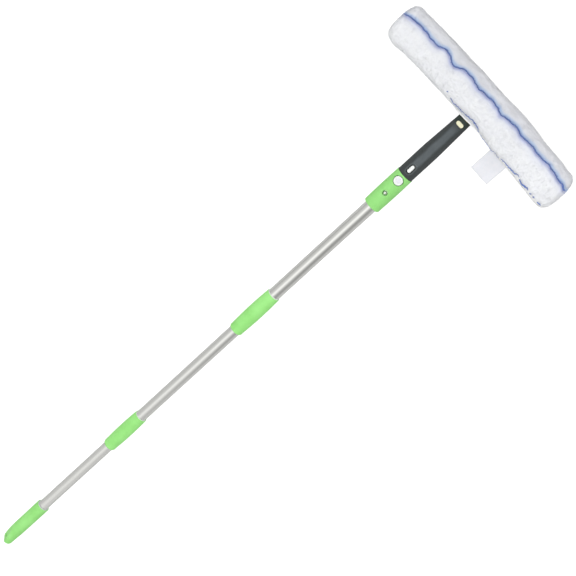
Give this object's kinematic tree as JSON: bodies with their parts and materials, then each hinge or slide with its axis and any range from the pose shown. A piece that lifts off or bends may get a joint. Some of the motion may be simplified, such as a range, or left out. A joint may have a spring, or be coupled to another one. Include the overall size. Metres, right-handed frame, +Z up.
{
  "type": "window washer on a telescopic pole",
  "caption": "Telescopic metal pole with an end grip, twist locks and a tapered handle that carries a T-bar in a plush microfibre washing sleeve",
  "frame": {"origin": "middle of the footprint, on the surface that the washer lies on", "axes": "+X along the pole from the end grip to the washer head, +Y along the washer's bar, +Z up, the side with the lock button"},
  "size_m": [1.2204, 0.36, 0.0465],
  "materials": {
    "green_plastic": "light green moulded plastic with a soft sheen",
    "white_plastic": "white moulded plastic",
    "steel_tube": "drawn steel, polished",
    "inner_plastic": "natural nylon",
    "steel_fittings": "plated steel",
    "spring_steel": "spring steel",
    "grey_plastic": "dark grey moulded plastic, finely textured",
    "cream_plastic": "cream moulded plastic",
    "microfibre": "white microfibre plush with two blue thread stripes",
    "fabric_trim": "white woven tape",
    "label_cloth": "plain white satin tape"
  },
  "bodies": {
    "head": {"t_bar": "cream_plastic", "sleeve": "microfibre", "sleeve_hem": "fabric_trim", "closure_tape_left": "fabric_trim", "closure_tape_right": "fabric_trim", "care_label": "label_cloth", "handle": "grey_plastic", "head_socket": "green_plastic", "lever_pin": "steel_fittings", "lever_spring": "spring_steel", "snap_clip": "spring_steel", "upper_tube": "steel_tube", "upper_collar": "green_plastic", "upper_collar_ring": "white_plastic", "upper_bush": "white_plastic"},
    "lock_lever": {"lock_lever": "white_plastic"},
    "snap_button": {"snap_button": "steel_fittings"},
    "upper_lock": {"upper_lock_ring": "inner_plastic"},
    "middle_pole": {"middle_tube": "steel_tube", "middle_plug": "inner_plastic", "middle_plug_screw": "steel_fittings", "lower_collar": "green_plastic", "lower_collar_ring": "white_plastic", "lower_bush": "white_plastic"},
    "lower_lock": {"lower_lock_ring": "inner_plastic"},
    "lower_pole": {"lower_tube": "steel_tube", "lower_plug": "inner_plastic", "lower_plug_screw": "steel_fittings", "end_grip": "green_plastic", "grip_liner": "white_plastic"}
  },
  "joints": [
    {"name": "lock_lever_press", "type": "hinge", "parent": "head", "child": "lock_lever", "pos_m": [0.39275, 0, 0.03], "axis": [0, 1, 0], "range_deg": [0, 5.5], "stiffness_Nm_per_rad": 0.6, "springref_deg": -5.73, "deforming": ["lever_spring"]},
    {"name": "snap_button_press", "type": "slide", "parent": "head", "child": "snap_button", "axis": [0, 0, -1], "range_m": [0, 0.0035], "stiffness_N_per_m": 1500, "springref_m": -0.003, "deforming": ["snap_clip"]},
    {"name": "middle_slide", "type": "slide", "parent": "head", "child": "upper_lock", "axis": [1, 0, 0], "range_m": [0, 0.225]},
    {"name": "middle_twist", "type": "hinge", "parent": "upper_lock", "child": "middle_pole", "pos_m": [0.11975, 0, 0.023], "axis": [1, 0, 0], "range_deg": [0, 70]},
    {"name": "lower_slide", "type": "slide", "parent": "middle_pole", "child": "lower_lock", "axis": [1, 0, 0], "range_m": [0, 0.19]},
    {"name": "lower_twist", "type": "hinge", "parent": "lower_lock", "child": "lower_pole", "pos_m": [-0.21325, 0, 0.023], "axis": [1, 0, 0], "range_deg": [0, 70]}
  ]
}
